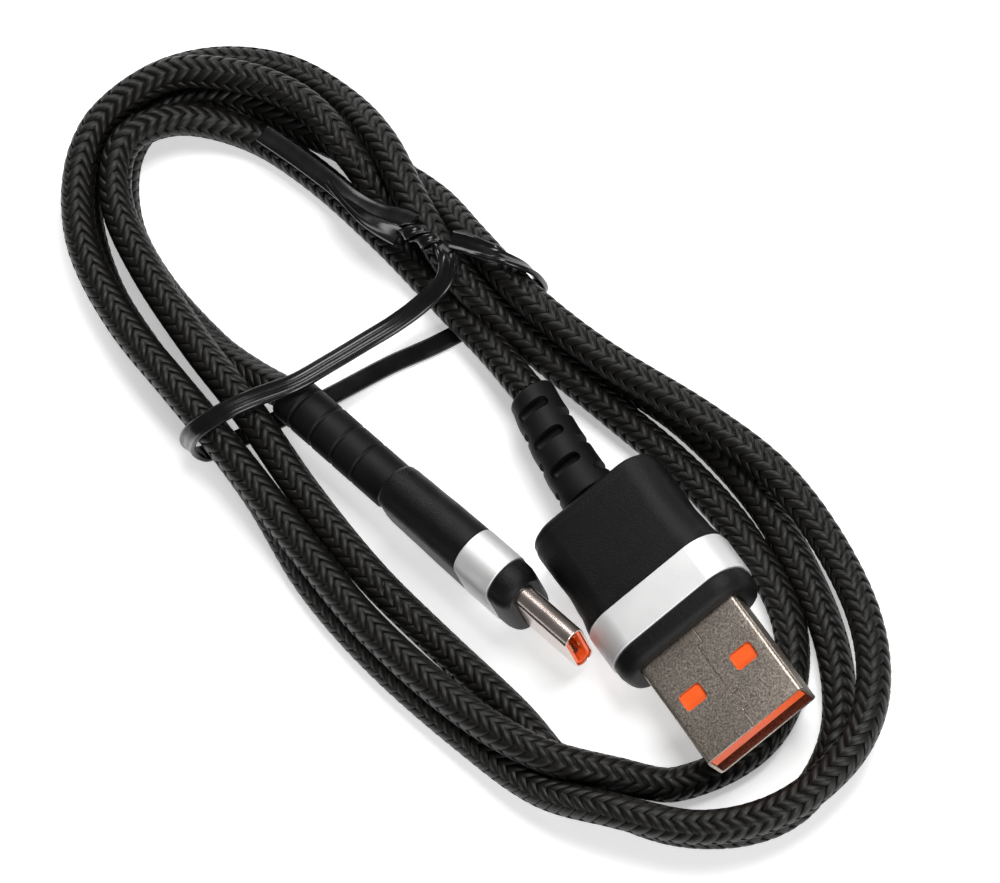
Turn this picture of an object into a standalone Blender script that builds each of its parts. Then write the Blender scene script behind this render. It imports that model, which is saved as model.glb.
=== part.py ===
"""USB-A to USB-C charging cable, coiled in three and a half turns and held by a twist tie.

Sizes are in millimetres and are scaled to metres where a mesh or a curve is made. World +X runs from
the closed end of the coil towards the plug tips, +Y lies across the coil and +Z is up. Each plug is
modelled along its own x axis, from the rear of its strain relief, and an empty puts it in its place.
"""

from math import cos, pi, radians, sin

import bmesh
import bpy
from mathutils import Matrix, Quaternion, Vector
from mathutils.geometry import interpolate_bezier

MM = 0.001
RING_POINTS = 28

# Cord
CORD_DIAMETER = 3.5
CORD_POINTS = 88
CORD_END_GAP = 0.5

# USB-A plug: where its strain relief starts, and its stations along its own x axis
A_PLACE = (3.4, 8.6, 4.95)
A_YAW, A_PITCH, A_ROLL = -11.9, -2.9, 10.8
A_RELIEF_END = 13.2
A_BODY = (13.5, 25.4)
A_RING = (25.5, 29.8)
A_NOSE = (29.9, 32.0)
A_SHELL = (26.6, 44.1)
A_SHELL_SIZE = (12.0, 4.5)
A_SHELL_WALL = 0.3
A_CONTACT_PITCH = 2.25
A_WIRE = 0.45

# USB-C plug, which stands on its narrow edge
C_PLACE = (-15.3, -6.6, 5.7)
C_YAW, C_PITCH, C_ROLL = 0.5, 0.0, 90.0
C_RELIEF_END = 15.5
C_BODY = (15.8, 27.4)
C_RING = (27.5, 32.1)
C_NOSE = (32.2, 34.7)
C_SHELL = (28.7, 41.7)
C_SHELL_SIZE = (8.25, 2.4)
C_SHELL_WALL = 0.22
C_CONTACT_PITCH = 0.5
C_UPPER_CONTACTS = (0, 3, 4, 5, 6, 8, 11)
C_LOWER_CONTACTS = (0, 3, 4, 8, 11)
C_WIRE = 0.35

# Twist tie
TIE_WIDTH, TIE_THICKNESS = 2.0, 0.7

# The cord's route, from the USB-A strain relief, round the coil, to the USB-C one
ROUTE = [
    (3.4, 9.8, 5.1), (-3.4, 10.9, 3.7), (-10.6, 11.6, 2.7), (-22.0, 12.6, 2.2), (-33.0, 12.7, 1.8),
    (-41.1, 11.3, 2.0), (-47.0, 7.2, 4.2), (-48.6, 1.7, 5.7), (-44.9, -3.3, 5.6), (-37.5, -6.5, 5.7),
    (-26.7, -9.1, 5.9), (-17.1, -10.7, 6.3), (-6.5, -13.0, 5.1), (4.7, -14.6, 4.4), (14.0, -14.8, 2.1),
    (25.0, -15.0, 1.9), (34.7, -15.9, 1.9), (43.9, -13.5, 1.9), (50.1, -8.6, 1.8), (52.7, -2.8, 1.9),
    (50.8, 4.5, 1.8), (45.0, 10.4, 1.9), (36.9, 14.6, 1.8), (27.5, 17.5, 1.9), (16.6, 18.5, 1.9),
    (5.3, 17.3, 2.0), (-5.8, 16.8, 2.9), (-13.9, 15.8, 2.1), (-23.4, 15.4, 2.5), (-29.6, 16.3, 5.3),
    (-37.5, 17.0, 5.5), (-45.1, 14.6, 5.3), (-50.8, 9.9, 5.3), (-52.5, 2.2, 5.4), (-50.0, -3.7, 5.7),
    (-43.9, -9.1, 5.7), (-34.9, -12.3, 5.6), (-24.2, -13.9, 6.3), (-14.6, -15.2, 6.1), (-2.0, -17.2, 5.5),
    (9.0, -18.6, 5.6), (22.0, -18.4, 5.8), (31.1, -16.6, 5.8), (37.8, -12.8, 3.9), (42.2, -9.4, 1.8),
    (45.4, -1.9, 1.9), (44.2, 4.4, 1.8), (38.9, 10.1, 1.9), (30.0, 13.3, 1.8), (20.8, 14.6, 1.9),
    (9.5, 14.5, 1.9), (-1.8, 13.9, 3.2), (-11.0, 14.1, 5.3), (-20.1, 16.6, 5.9), (-27.8, 19.3, 5.2),
    (-35.5, 20.3, 2.3), (-43.1, 19.0, 1.8), (-49.7, 14.5, 1.9), (-53.6, 8.2, 1.8), (-53.5, 1.5, 1.9),
    (-49.1, -5.2, 1.8), (-41.0, -10.2, 1.9), (-31.8, -12.7, 1.9), (-22.2, -14.0, 2.8), (-11.4, -15.9, 2.2),
    (-0.6, -18.9, 1.8), (10.4, -20.1, 1.9), (23.5, -19.9, 2.4), (33.0, -19.0, 3.7), (40.3, -16.0, 5.6),
    (48.3, -11.4, 5.6), (52.9, -4.9, 5.6), (54.0, 3.0, 5.4), (52.0, 9.0, 5.4), (46.5, 14.2, 4.6),
    (37.9, 18.1, 3.4), (28.6, 20.0, 4.7), (19.1, 19.4, 5.5), (6.3, 17.4, 5.6), (-3.2, 16.8, 6.4),
    (-12.6, 17.8, 5.2), (-20.2, 18.8, 2.6), (-28.2, 17.8, 1.8), (-37.3, 15.5, 1.9), (-44.9, 13.5, 1.8),
    (-49.9, 7.7, 1.9), (-49.4, 1.4, 1.8), (-43.8, -4.1, 1.9), (-36.2, -6.7, 1.8), (-26.4, -7.7, 2.3),
    (-20.9, -7.4, 3.5), (-15.5, -6.7, 5.5),
]

# The tie's band, from the knot, over both sides of the coil, and back under them
TIE_BAND = [
    (-14.1, 14.8, 8.5), (-11.7, 14.1, 9.1), (-10.5, 12.2, 8.6), (-10.9, 9.2, 7.7), (-11.6, 5.9, 7.4),
    (-12.4, 2.5, 7.7), (-13.2, -1.6, 8.5), (-14.2, -5.8, 9.2), (-16.1, -9.5, 9.3), (-17.5, -12.9, 9.4),
    (-18.8, -16.1, 8.2), (-19.8, -17.2, 5.1), (-20.1, -17.2, 2.2), (-19.7, -16.5, 0.7), (-18.9, -14.6, 0.4),
    (-17.8, -12.0, 0.4), (-16.2, -7.9, 0.4), (-14.4, -3.9, 0.4), (-11.8, 3.3, 0.4), (-10.0, 7.3, 0.4),
    (-9.0, 9.9, 0.4), (-7.8, 13.2, 0.4), (-6.9, 15.7, 0.4), (-6.2, 18.0, 0.5), (-5.5, 19.3, 1.8),
    (-5.2, 19.4, 4.2), (-5.5, 19.0, 7.2), (-7.3, 17.9, 9.2), (-9.4, 17.1, 9.5), (-11.2, 16.5, 9.4),
    (-12.8, 15.8, 9.2),
]
TIE_LONG_END = [(-17.6, 14.6, 8.3), (-19.3, 14.4, 7.5), (-21.9, 13.5, 6.3), (-25.5, 12.9, 5.1),
                (-29.5, 12.8, 4.6), (-34.0, 12.5, 4.5), (-38.6, 12.0, 4.5)]
TIE_SHORT_END = [(-17.6, 12.6, 8.4), (-19.5, 12.2, 8.2), (-22.5, 11.9, 7.6), (-27.8, 12.1, 7.0)]
KNOT_CENTRE, KNOT_LENGTH, KNOT_RADIUS = (-15.9, 13.7, 8.3), 2.6, 1.15


def clear_scene():
    for thing in list(bpy.data.objects):
        bpy.data.objects.remove(thing, do_unlink=True)


def make_material(name, colour, metallic, roughness):
    material = bpy.data.materials.new(name)
    material.use_nodes = True
    shader = material.node_tree.nodes["Principled BSDF"]
    shader.inputs["Base Color"].default_value = (*colour, 1.0)
    shader.inputs["Metallic"].default_value = metallic
    shader.inputs["Roughness"].default_value = roughness
    material.diffuse_color = (*colour, 1.0)
    return material


def make_frame(name, place, roll, pitch, yaw):
    """An empty at a plug's strain relief, which the plug's parts hang on."""
    empty = bpy.data.objects.new(name, None)
    empty.location = Vector(place) * MM
    empty.rotation_euler = (radians(roll), radians(pitch), radians(yaw))
    bpy.context.collection.objects.link(empty)
    return empty


def place(node, material, parent=None):
    node.data.materials.append(material)
    node.parent = parent
    bpy.context.collection.objects.link(node)
    return node


# Cross-sections, each a ring of points


def rounded_ring(x, width, height, corner, side=0.0, up=0.0, steps=6):
    """A rounded rectangle across the x axis, moved sideways by side and upwards by up."""
    half_y, half_z = width / 2 - corner, height / 2 - corner
    ring = []
    for quarter, (sign_y, sign_z) in enumerate(((1, 1), (-1, 1), (-1, -1), (1, -1))):
        for step in range(steps + 1):
            angle = (quarter + step / steps) * pi / 2
            y = side + sign_y * half_y + corner * cos(angle)
            z = up + sign_z * half_z + corner * sin(angle)
            ring.append(Vector((x, y, z)))
    return ring


def round_ring(x, diameter, side=0.0, up=0.0):
    """A circle, with as many points as rounded_ring has, so that the two can be skinned together."""
    angles = [turn * 2 * pi / RING_POINTS for turn in range(RING_POINTS)]
    return [Vector((x, side + diameter / 2 * cos(angle), up + diameter / 2 * sin(angle))) for angle in angles]


def skin(name, rings, closed=False):
    """A solid through the rings: closed joins the last to the first, and otherwise both ends are capped."""
    shape = bmesh.new()
    rows = [[shape.verts.new(point * MM) for point in ring] for ring in rings]
    pairs = list(zip(rows, rows[1:]))
    if closed:
        pairs.append((rows[-1], rows[0]))
    else:
        shape.faces.new(rows[0][::-1])
        shape.faces.new(rows[-1])
    for first, second in pairs:
        for corner in range(len(first)):
            after = (corner + 1) % len(first)
            shape.faces.new((first[corner], first[after], second[after], second[corner]))
    if shape.calc_volume(signed=True) < 0:
        bmesh.ops.reverse_faces(shape, faces=shape.faces)
    mesh = bpy.data.meshes.new(name)
    shape.to_mesh(mesh)
    shape.free()
    return bpy.data.objects.new(name, mesh)


def block(name, low, high, bevel=0.0):
    """A box between two corners, with its edges rounded."""
    size = Vector(high) - Vector(low)
    centre = (Vector(high) + Vector(low)) / 2
    mesh = bpy.data.meshes.new(name)
    shape = bmesh.new()
    bmesh.ops.create_cube(shape, size=1.0, matrix=Matrix.Diagonal((*(size * MM), 1.0)))
    bmesh.ops.translate(shape, verts=shape.verts, vec=centre * MM)
    if bevel:
        bmesh.ops.bevel(shape, geom=shape.edges[:], offset=bevel * MM, segments=2, affect="EDGES")
    shape.to_mesh(mesh)
    shape.free()
    return bpy.data.objects.new(name, mesh)


def rod(name, start, end, radius):
    """A short round wire along x, at the y and z of its start."""
    mesh = bpy.data.meshes.new(name)
    shape = bmesh.new()
    along = Matrix.Rotation(pi / 2, 4, "Y")
    bmesh.ops.create_cone(
        shape, cap_ends=True, segments=12, radius1=radius * MM, radius2=radius * MM, depth=(end[0] - start[0]) * MM
    )
    bmesh.ops.transform(shape, verts=shape.verts, matrix=along)
    middle = (Vector(start) + Vector(end)) / 2
    bmesh.ops.translate(shape, verts=shape.verts, vec=middle * MM)
    shape.to_mesh(mesh)
    shape.free()
    return bpy.data.objects.new(name, mesh)


# Curves


def smooth_curve(points, steps=8):
    """Points on a smooth curve through the given ones, each span a Bezier whose ends follow the neighbours."""
    points = [Vector(point) for point in points]
    tangents = []
    for before, here, after in zip(points[:1] + points, points, points[1:] + points[-1:]):
        tangents.append((after - before) / ((here - before).length + (after - here).length))
    curve = []
    for start, end, leave, arrive in zip(points, points[1:], tangents, tangents[1:]):
        reach = (end - start).length / 3
        curve += interpolate_bezier(start, start + leave * reach, end - arrive * reach, end, steps + 1)[:-1]
    return curve + [points[-1]]


def even_points(curve, count):
    """The given number of points, evenly spaced along the curve."""
    lengths = [0.0]
    for start, end in zip(curve, curve[1:]):
        lengths.append(lengths[-1] + (end - start).length)
    spaced, index = [], 0
    for step in range(count):
        target = lengths[-1] * step / (count - 1)
        while index < len(curve) - 2 and lengths[index + 1] < target:
            index += 1
        share = (target - lengths[index]) / (lengths[index + 1] - lengths[index])
        spaced.append(curve[index].lerp(curve[index + 1], share))
    return spaced


def tube(name, points, diameter):
    curve = bpy.data.curves.new(name, "CURVE")
    curve.dimensions = "3D"
    curve.bevel_depth = diameter / 2 * MM
    curve.bevel_resolution = 2
    curve.use_fill_caps = True
    spline = curve.splines.new("POLY")
    spline.points.add(len(points) - 1)
    for corner, point in zip(spline.points, points):
        corner.co = (*(point * MM), 1.0)
    return bpy.data.objects.new(name, curve)


def strip(name, points, count, across, twist=0.0):
    """A flat strip along a curve, with its width as near as it can be to the direction across."""
    path = even_points(smooth_curve(points), count)
    rings = []
    for index, point in enumerate(path):
        tangent = (path[min(index + 1, count - 1)] - path[max(index - 1, 0)]).normalized()
        wide = (across - tangent * across.dot(tangent)).normalized()
        wide.rotate(Quaternion(tangent, twist * index / (count - 1)))
        thick = tangent.cross(wide)
        profile = rounded_ring(0, TIE_WIDTH, TIE_THICKNESS, TIE_THICKNESS / 2 * 0.9, steps=2)
        rings.append([point + wide * corner.y + thick * corner.z for corner in profile])
    return skin(name, rings)


def cut(node, cutter, helpers):
    """Takes the cutter's shape out of the node."""
    helpers.objects.link(cutter)
    cutter.parent = node.parent
    cutter.hide_render = True
    cutter.display_type = "WIRE"
    modifier = node.modifiers.new("Cut", "BOOLEAN")
    modifier.operation = "DIFFERENCE"
    modifier.solver = "EXACT"
    modifier.object = cutter


def join_blocks(name, corners, bevel=0.0):
    """One mesh of several separate boxes, to cut with."""
    shape = bmesh.new()
    for number, (low, high) in enumerate(corners):
        box = block(f"{name}_{number}", low, high, bevel)
        shape.from_mesh(box.data)
        bpy.data.objects.remove(box)
    mesh = bpy.data.meshes.new(name)
    shape.to_mesh(mesh)
    shape.free()
    return bpy.data.objects.new(name, mesh)


# The cord and its tie


def make_cord(look):
    path = smooth_curve(ROUTE)
    floor = CORD_DIAMETER / 2
    points = even_points([Vector((p.x, p.y, max(p.z, floor))) for p in path], CORD_POINTS)
    for end, inner in ((0, 1), (-1, -2)):
        points[end] += (points[inner] - points[end]).normalized() * CORD_END_GAP
    place(tube("cord", points, CORD_DIAMETER), look)


def make_tie(look):
    sideways, lengthways = Vector((1, 0, 0)), Vector((0, 1, 0))
    place(strip("tie_band", TIE_BAND, 84, sideways), look)
    place(strip("tie_long_end", TIE_LONG_END, 14, lengthways), look)
    place(strip("tie_short_end", TIE_SHORT_END, 10, lengthways, twist=pi / 2), look)
    rings = []
    for step in range(9):
        share = step / 8
        middle = Vector(KNOT_CENTRE) + Vector(((share - 0.5) * KNOT_LENGTH, 0, 0))
        spread = KNOT_RADIUS * (0.75 + 0.25 * sin(pi * share))
        lobed = []
        for corner in range(16):
            angle = corner * pi / 8
            radius = spread * (0.85 + 0.15 * cos(2 * angle - share * pi * 1.5))
            lobed.append(middle + Vector((0, cos(angle), sin(angle))) * radius)
        rings.append(lobed)
    place(skin("tie_knot", rings), look)


# The USB-A plug


def a_relief():
    """The strain relief, whose rear bends a little aside with the cord."""
    rings = []
    for x, diameter, side in ((0.0, 4.6, 1.15), (0.3, 5.1, 1.1), (3.0, 5.3, 0.75), (6.5, 5.6, 0.35), (10.0, 5.9, 0.1)):
        rings.append(round_ring(x, diameter, side))
    rings += [round_ring(x, d) for x, d in ((A_RELIEF_END, 6.2), (A_RELIEF_END, 4.6), (14.6, 4.6))]
    return skin("usb_a_strain_relief", rings)


def a_relief_slots():
    """Three slots over the top and the underside, with pairs at the sides between them."""
    corners = []
    for x, side in ((2.4, 0.8), (6.0, 0.4), (9.6, 0.1)):
        for low, high in ((1.5, 4.0), (-4.0, -1.5)):
            corners.append(((x - 0.55, side - 2.1, low), (x + 0.55, side + 2.1, high)))
    for x, side in ((4.2, 0.6), (7.8, 0.2), (11.4, 0.0)):
        for low, high in ((1.7, 4.0), (-4.0, -1.7)):
            corners.append(((x - 0.45, side + low, -1.9), (x + 0.45, side + high, 1.9)))
    return join_blocks("usb_a_relief_slots", corners, bevel=0.25)


def a_overmould():
    outside = ((13.5, 12.8, 6.0, 2.6), (13.8, 14.6, 7.0, 3.0), (14.6, 15.5, 7.6, 3.2), (17.0, 15.5, 7.8, 3.2),
               (20.0, 15.2, 7.8, 3.2), (23.0, 15.7, 8.0, 3.3), (A_BODY[1], 16.4, 8.2, 3.4))
    rings = [rounded_ring(*section) for section in outside]
    rings += [rounded_ring(A_BODY[1], 12.9, 5.2, 1.2), rounded_ring(15.1, 12.9, 5.2, 1.2)]
    rings += [round_ring(15.1, 5.0), round_ring(A_BODY[0], 5.0)]
    return skin("usb_a_overmould", rings, closed=True)


def a_ring():
    rear, front = A_RING
    outside = [rounded_ring(x, 16.6, 8.4, 3.5) for x in (rear, front)]
    inside = [rounded_ring(x, 15.3, 7.1, 2.8) for x in (front, rear)]
    return skin("usb_a_ring", outside + inside, closed=True)


def a_nose():
    """The black front, whose core carries the metal ring."""
    rear, front = A_RING[0] + 0.1, A_NOSE[1]
    core, hole = (15.0, 6.8, 2.6), (12.3, 4.8, 0.6)
    outside = [rounded_ring(x, *core) for x in (rear, A_NOSE[0])]
    outside += [rounded_ring(x, w, h, r) for x, w, h, r in ((A_NOSE[0], 16.0, 7.8, 3.2), (31.2, 15.9, 7.7, 3.2),
                                                            (31.8, 15.3, 7.1, 3.0), (front, 14.6, 6.4, 2.8))]
    inside = [rounded_ring(x, *hole) for x in (front, rear)]
    return skin("usb_a_nose", outside + inside, closed=True)


def a_shell():
    width, height = A_SHELL_SIZE
    rear, front = A_SHELL
    inner = (width - 2 * A_SHELL_WALL, height - 2 * A_SHELL_WALL, 0.25)
    outside = [rounded_ring(x, width, height, 0.5, steps=3) for x in (rear, front)]
    inside = [rounded_ring(x, *inner, steps=3) for x in (front, rear)]
    return skin("usb_a_shell", outside + inside, closed=True)


def a_windows():
    """The two windows in each broad side that a socket's springs catch in."""
    corners = []
    for y in (-3.2, 3.2):
        for low, high in ((1.5, 3.0), (-3.0, -1.5)):
            corners.append(((36.7, y - 1.3, low), (38.7, y + 1.3, high)))
    return join_blocks("usb_a_windows", corners)


def a_insulator():
    """The block behind the opening and the tongue that carries the contacts, as one side view drawn wide."""
    outline = ((26.7, -1.85), (33.5, -1.85), (33.5, 0.2), (43.9, 0.2), (43.9, 1.85), (26.7, 1.85))
    curve = bpy.data.curves.new("usb_a_insulator", "CURVE")
    curve.dimensions, curve.fill_mode, curve.extrude = "2D", "BOTH", 5.6 * MM
    spline = curve.splines.new("POLY")
    spline.use_cyclic_u = True
    spline.points.add(len(outline) - 1)
    for corner, (x, z) in zip(spline.points, outline):
        corner.co = (x * MM, z * MM, 0, 1)
    node = bpy.data.objects.new("usb_a_insulator", curve)
    node.rotation_euler = (pi / 2, 0, 0)
    return node


def make_usb_a(looks, helpers):
    frame = make_frame("usb_a_frame", A_PLACE, A_ROLL, A_PITCH, A_YAW)
    relief = place(a_relief(), looks["rubber"], frame)
    cut(relief, a_relief_slots(), helpers)
    place(a_overmould(), looks["mould"], frame)
    place(a_ring(), looks["ring"], frame)
    place(a_nose(), looks["mould"], frame)
    shell = place(a_shell(), looks["nickel"], frame)
    cut(shell, a_windows(), helpers)
    place(a_insulator(), looks["orange"], frame)
    for number in range(4):
        y = (number - 1.5) * A_CONTACT_PITCH
        reach = 42.6 if number in (0, 3) else 41.6
        contact = block(f"usb_a_contact_{number + 1}", (33.8, y - 0.5, -0.03), (reach, y + 0.5, 0.17), 0.05)
        place(contact, looks["gold"], frame)
    place(block("usb_a_inner_mould", (17.6, -6.0, -2.3), (26.3, 6.0, 2.3), 0.4), looks["inner"], frame)
    crimp = [round_ring(x, d) for x, d in ((15.3, 4.6), (17.2, 4.6), (17.2, 3.6), (15.3, 3.6))]
    place(skin("usb_a_crimp", crimp, closed=True), looks["nickel"], frame)
    for colour, (y, z) in zip(("red", "white", "green", "black"), ((0.6, 0.6), (-0.6, 0.6), (-0.6, -0.6), (0.6, -0.6))):
        place(rod(f"usb_a_wire_{colour}", (14.75, y, z), (17.45, y, z), A_WIRE), looks[colour], frame)


# The USB-C plug


def c_relief():
    """The strain relief, a plain tapered sleeve with four shallow grooves round it."""
    rings = [round_ring(0.0, 4.4), round_ring(0.3, 4.9)]
    for x in (2.6, 5.6, 8.6, 11.6):
        for step, diameter in ((-0.25, 5.1), (-0.1, 4.75), (0.1, 4.75), (0.25, 5.1)):
            rings.append(round_ring(x + step, diameter))
    rings += [round_ring(C_RELIEF_END, 5.1), round_ring(C_RELIEF_END, 3.6), round_ring(16.8, 3.6)]
    return skin("usb_c_strain_relief", rings)


def c_overmould():
    outside = ((15.8, 7.2, 4.2, 2.0), (16.1, 8.2, 4.9, 2.3), (16.9, 8.7, 5.2, 2.5), (19.0, 9.2, 5.25, 2.5),
               (22.0, 10.0, 5.3, 2.5), (25.0, 10.7, 5.4, 2.55), (C_BODY[1], 11.1, 5.4, 2.6))
    rings = [rounded_ring(*section) for section in outside]
    rings += [rounded_ring(C_BODY[1], 8.6, 3.8, 1.8), rounded_ring(17.0, 6.8, 3.6, 1.7)]
    rings += [round_ring(17.0, 3.9), round_ring(C_BODY[0], 3.9)]
    return skin("usb_c_overmould", rings, closed=True)


def c_ring():
    rear, front = C_RING
    outside = [rounded_ring(x, 11.2, 5.5, 2.7) for x in (rear, front)]
    inside = [rounded_ring(x, 10.2, 4.4, 2.1) for x in (front, rear)]
    return skin("usb_c_ring", outside + inside, closed=True)


def c_nose():
    rear, front = C_RING[0] + 0.1, C_NOSE[1]
    core, hole = (9.9, 4.1, 1.95), (8.6, 2.75, 1.3)
    outside = [rounded_ring(x, *core) for x in (rear, C_NOSE[0])]
    outside += [rounded_ring(x, w, h, r) for x, w, h, r in ((C_NOSE[0], 10.9, 5.2, 2.55), (33.6, 10.8, 5.1, 2.5),
                                                            (34.3, 10.2, 4.5, 2.2), (front, 9.5, 3.8, 1.8))]
    inside = [rounded_ring(x, *hole) for x in (front, rear)]
    return skin("usb_c_nose", outside + inside, closed=True)


def c_shell():
    width, height = C_SHELL_SIZE
    rear, front = C_SHELL
    wall = 2 * C_SHELL_WALL
    outside = [rounded_ring(x, width, height, 1.19) for x in (rear, front)]
    inside = [rounded_ring(x, width - wall, height - wall, 0.97) for x in (front, rear)]
    return skin("usb_c_shell", outside + inside, closed=True)


def c_insulator():
    """The orange liner: solid behind, and open at the front where a socket's tongue goes in."""
    rear, floor, front = 30.6, 35.5, 41.5
    rings = [rounded_ring(rear, 7.7, 1.86, 0.92), rounded_ring(front, 7.7, 1.86, 0.92)]
    rings += [rounded_ring(front, 6.9, 1.0, 0.45), rounded_ring(floor, 6.9, 1.0, 0.45)]
    return skin("usb_c_insulator", rings)


def make_usb_c(looks, helpers):
    frame = make_frame("usb_c_frame", C_PLACE, C_ROLL, C_PITCH, C_YAW)
    place(c_relief(), looks["rubber"], frame)
    place(c_overmould(), looks["mould"], frame)
    place(c_ring(), looks["ring"], frame)
    place(c_nose(), looks["mould"], frame)
    place(c_shell(), looks["rose"], frame)
    place(c_insulator(), looks["orange"], frame)
    rows = (("upper", C_UPPER_CONTACTS, 0.36), ("lower", C_LOWER_CONTACTS, -0.46))
    for row, positions, low in rows:
        for number, position in enumerate(positions):
            y = (position - 5.5) * C_CONTACT_PITCH
            corners = (36.0, y - 0.13, low), (40.9, y + 0.13, low + 0.1)
            place(block(f"usb_c_{row}_contact_{number + 1}", *corners), looks["gold"], frame)
    for name, side in (("left", 3.22), ("right", -3.22)):
        corners = (36.0, side - 0.1, -0.28), (40.6, side + 0.1, 0.28)
        place(block(f"usb_c_{name}_latch", *corners, 0.04), looks["nickel"], frame)
    place(block("usb_c_board", (24.0, -3.3, -0.4), (30.3, 3.3, 0.4)), looks["board"], frame)
    place(block("usb_c_resistor", (25.5, -0.5, 0.45), (26.5, 0.0, 0.8)), looks["black"], frame)
    can = [rounded_ring(x, w, h, r) for x, w, h, r in ((23.6, 7.4, 3.0, 1.3), (27.3, 7.4, 3.0, 1.3),
                                                       (27.3, 6.9, 2.5, 1.05), (23.6, 6.9, 2.5, 1.05))]
    place(skin("usb_c_rear_shield", can, closed=True), looks["nickel"], frame)
    place(block("usb_c_inner_mould", (19.6, -3.2, -1.4), (23.3, 3.2, 1.4), 0.3), looks["inner"], frame)
    crimp = [round_ring(x, d) for x, d in ((17.3, 3.3), (19.2, 3.3), (19.2, 2.6), (17.3, 2.6))]
    place(skin("usb_c_crimp", crimp, closed=True), looks["nickel"], frame)
    for colour, (y, z) in zip(("red", "white", "green", "black"), ((0.5, 0.5), (-0.5, 0.5), (-0.5, -0.5), (0.5, -0.5))):
        place(rod(f"usb_c_wire_{colour}", (16.95, y, z), (19.45, y, z), C_WIRE), looks[colour], frame)


def make_looks():
    return {
        "braid": make_material("braided_nylon", (0.018, 0.018, 0.016), 0.0, 0.6),
        "tie": make_material("tie_vinyl", (0.012, 0.012, 0.013), 0.0, 0.25),
        "rubber": make_material("relief_rubber", (0.02, 0.02, 0.022), 0.0, 0.6),
        "mould": make_material("overmould_black", (0.012, 0.012, 0.013), 0.0, 0.4),
        "ring": make_material("ring_satin_silver", (0.78, 0.78, 0.78), 1.0, 0.35),
        "nickel": make_material("shell_nickel", (0.62, 0.57, 0.51), 1.0, 0.3),
        "rose": make_material("shell_polished", (0.83, 0.73, 0.67), 1.0, 0.12),
        "orange": make_material("insulator_orange", (0.95, 0.16, 0.02), 0.0, 0.4),
        "gold": make_material("contact_gold", (0.9, 0.65, 0.25), 1.0, 0.2),
        "inner": make_material("inner_mould", (0.75, 0.73, 0.68), 0.0, 0.5),
        "board": make_material("board_green", (0.03, 0.18, 0.07), 0.0, 0.4),
        "red": make_material("wire_red", (0.6, 0.02, 0.02), 0.0, 0.4),
        "white": make_material("wire_white", (0.8, 0.8, 0.78), 0.0, 0.4),
        "green": make_material("wire_green", (0.03, 0.35, 0.06), 0.0, 0.4),
        "black": make_material("wire_black", (0.02, 0.02, 0.02), 0.0, 0.4),
    }


def main():
    clear_scene()
    helpers = bpy.data.collections.new("cutters")
    helpers.hide_render = True
    bpy.context.scene.collection.children.link(helpers)
    looks = make_looks()
    make_cord(looks["braid"])
    make_tie(looks["tie"])
    make_usb_a(looks, helpers)
    make_usb_c(looks, helpers)


main()
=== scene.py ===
"""The looks of a braided charging cable, coiled and held by a twist tie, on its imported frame."""

from math import cos, pi, radians, sin

import bmesh
import bpy
from mathutils import Euler, Matrix, Quaternion, Vector
from mathutils.geometry import interpolate_bezier


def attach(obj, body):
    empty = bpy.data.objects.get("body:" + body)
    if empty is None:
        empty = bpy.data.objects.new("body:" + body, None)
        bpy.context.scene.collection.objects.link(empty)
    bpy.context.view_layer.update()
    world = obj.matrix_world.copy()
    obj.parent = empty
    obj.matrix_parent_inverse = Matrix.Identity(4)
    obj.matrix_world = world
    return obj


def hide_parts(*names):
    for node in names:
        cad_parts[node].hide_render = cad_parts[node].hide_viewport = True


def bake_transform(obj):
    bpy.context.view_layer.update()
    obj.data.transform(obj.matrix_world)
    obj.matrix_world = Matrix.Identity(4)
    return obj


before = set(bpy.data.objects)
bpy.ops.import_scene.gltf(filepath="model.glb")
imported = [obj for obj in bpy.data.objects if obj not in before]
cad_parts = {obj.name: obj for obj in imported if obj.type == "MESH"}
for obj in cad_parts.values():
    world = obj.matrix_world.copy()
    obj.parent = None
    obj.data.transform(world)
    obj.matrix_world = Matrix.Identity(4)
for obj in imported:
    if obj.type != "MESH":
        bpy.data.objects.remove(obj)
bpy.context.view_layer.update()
MM = 0.001

# ---------------------------------------------------------------------------
# The camera: a long lens high over the coil, so that near and far strands look the same size.
# It is rolled, so that the coil lies aslant in its view.

look_at = Vector((0.0026, 0.0048, 0.0))
camera_distance = 0.6
toward_camera = Vector((0.375, -0.1205, 0.92)).normalized()
roughly_up = Vector((-0.612, 0.712, 0.343))
camera_right = roughly_up.cross(toward_camera).normalized()
camera_up = toward_camera.cross(camera_right)
camera_data = bpy.data.cameras.new("camera")
camera_data.lens = 212.8
camera_data.sensor_width = 36.0
camera = bpy.data.objects.new("camera", camera_data)
camera_turn = Matrix((camera_right, camera_up, toward_camera)).transposed()
camera.matrix_world = Matrix.Translation(look_at + toward_camera * camera_distance) @ camera_turn.to_4x4()
bpy.context.collection.objects.link(camera)
bpy.context.scene.camera = camera

# ---------------------------------------------------------------------------
# The cord: a jacket under a braid of sixteen flat nylon bundles, eight winding each way and each
# passing over two and under two, so that they show as herringbone columns along the cord.


class Wire:
    """A node's socket that can be written into sums, so that maths on it adds the nodes it needs."""

    def __init__(self, maker, socket):
        self.maker = maker
        self.socket = socket

    def __add__(self, other):
        return self.maker.maths("ADD", self, other)

    def __radd__(self, other):
        return self.maker.maths("ADD", other, self)

    def __sub__(self, other):
        return self.maker.maths("SUBTRACT", self, other)

    def __rsub__(self, other):
        return self.maker.maths("SUBTRACT", other, self)

    def __mul__(self, other):
        return self.maker.maths("MULTIPLY", self, other)

    def __rmul__(self, other):
        return self.maker.maths("MULTIPLY", other, self)

    def __truediv__(self, other):
        return self.maker.maths("DIVIDE", self, other)

    def __rtruediv__(self, other):
        return self.maker.maths("DIVIDE", other, self)


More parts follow.
